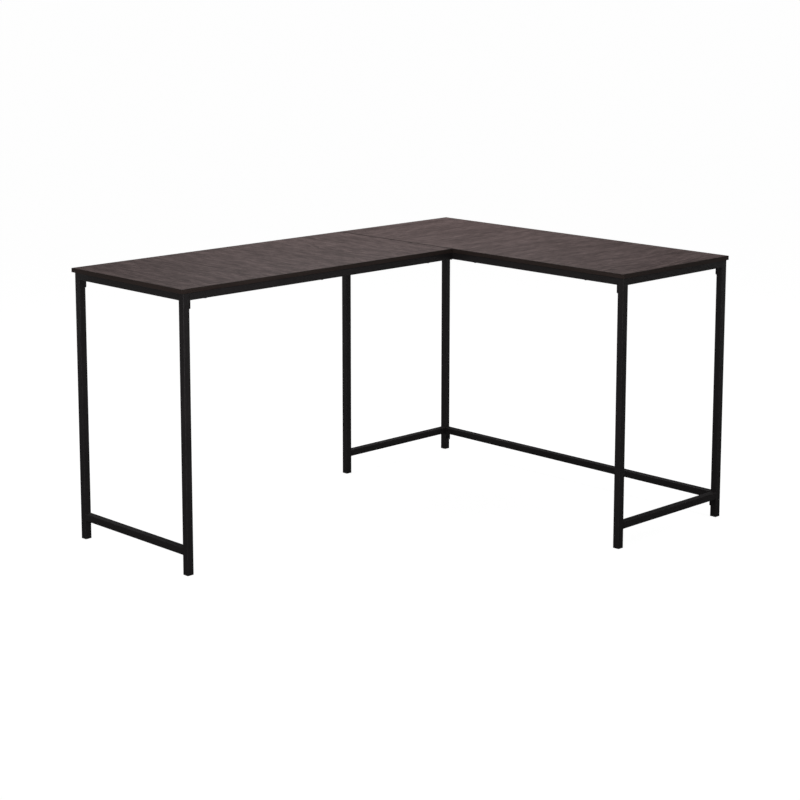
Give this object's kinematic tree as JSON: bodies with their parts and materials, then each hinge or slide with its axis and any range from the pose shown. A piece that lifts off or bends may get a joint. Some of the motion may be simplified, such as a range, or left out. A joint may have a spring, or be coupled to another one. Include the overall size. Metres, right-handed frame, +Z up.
{
  "type": "corner desk",
  "caption": "L-shaped corner desk: thin dark wood-grain tops on a black square-tube steel frame with low stretchers.",
  "frame": {"origin": "on the floor, under the middle of the whole desk's bounding box", "axes": "+X along the long back edge towards the outer corner, +Y from the sitter's side to the back edge, +Z up; the outer corner is at +X +Y, the left wing runs towards -X and the right wing towards -Y"},
  "size_m": [1.46, 1.118, 0.762],
  "materials": {
    "wood_grain_laminate": "matt dark grey-brown wood-grain laminate on particleboard",
    "edge_banding": "satin dark brown edge banding",
    "black_powder_coated_steel": "satin black powder coat, fine texture",
    "black_hardware": "black zinc plate",
    "bare_steel": "plain zinc-plated steel",
    "foot_plastic": "matt black moulded polyethylene"
  },
  "bodies": {
    "root": {"left_top_panel": "wood_grain_laminate", "right_top_panel": "wood_grain_laminate", "left_edge_banding": "edge_banding", "right_edge_banding": "edge_banding", "leg_left_back": "black_powder_coated_steel", "leg_left_front": "black_powder_coated_steel", "leg_inner_back": "black_powder_coated_steel", "leg_corner_back": "black_powder_coated_steel", "leg_inner_front": "black_powder_coated_steel", "leg_right_front": "black_powder_coated_steel", "left_end_top_rail": "black_powder_coated_steel", "left_end_stretcher": "black_powder_coated_steel", "back_end_top_rail": "black_powder_coated_steel", "back_end_stretcher": "black_powder_coated_steel", "front_end_top_rail": "black_powder_coated_steel", "front_end_stretcher": "black_powder_coated_steel", "left_front_rail": "black_powder_coated_steel", "left_back_rail": "black_powder_coated_steel", "inner_rail": "black_powder_coated_steel", "right_side_rail": "black_powder_coated_steel", "right_side_stretcher": "black_powder_coated_steel", "seam_cross_rail": "black_powder_coated_steel", "rail_end_plates": "black_powder_coated_steel", "frame_bolts": "black_hardware", "weld_nuts": "bare_steel", "panel_screws": "black_hardware", "foot_caps": "foot_plastic"}
  },
  "joints": []
}
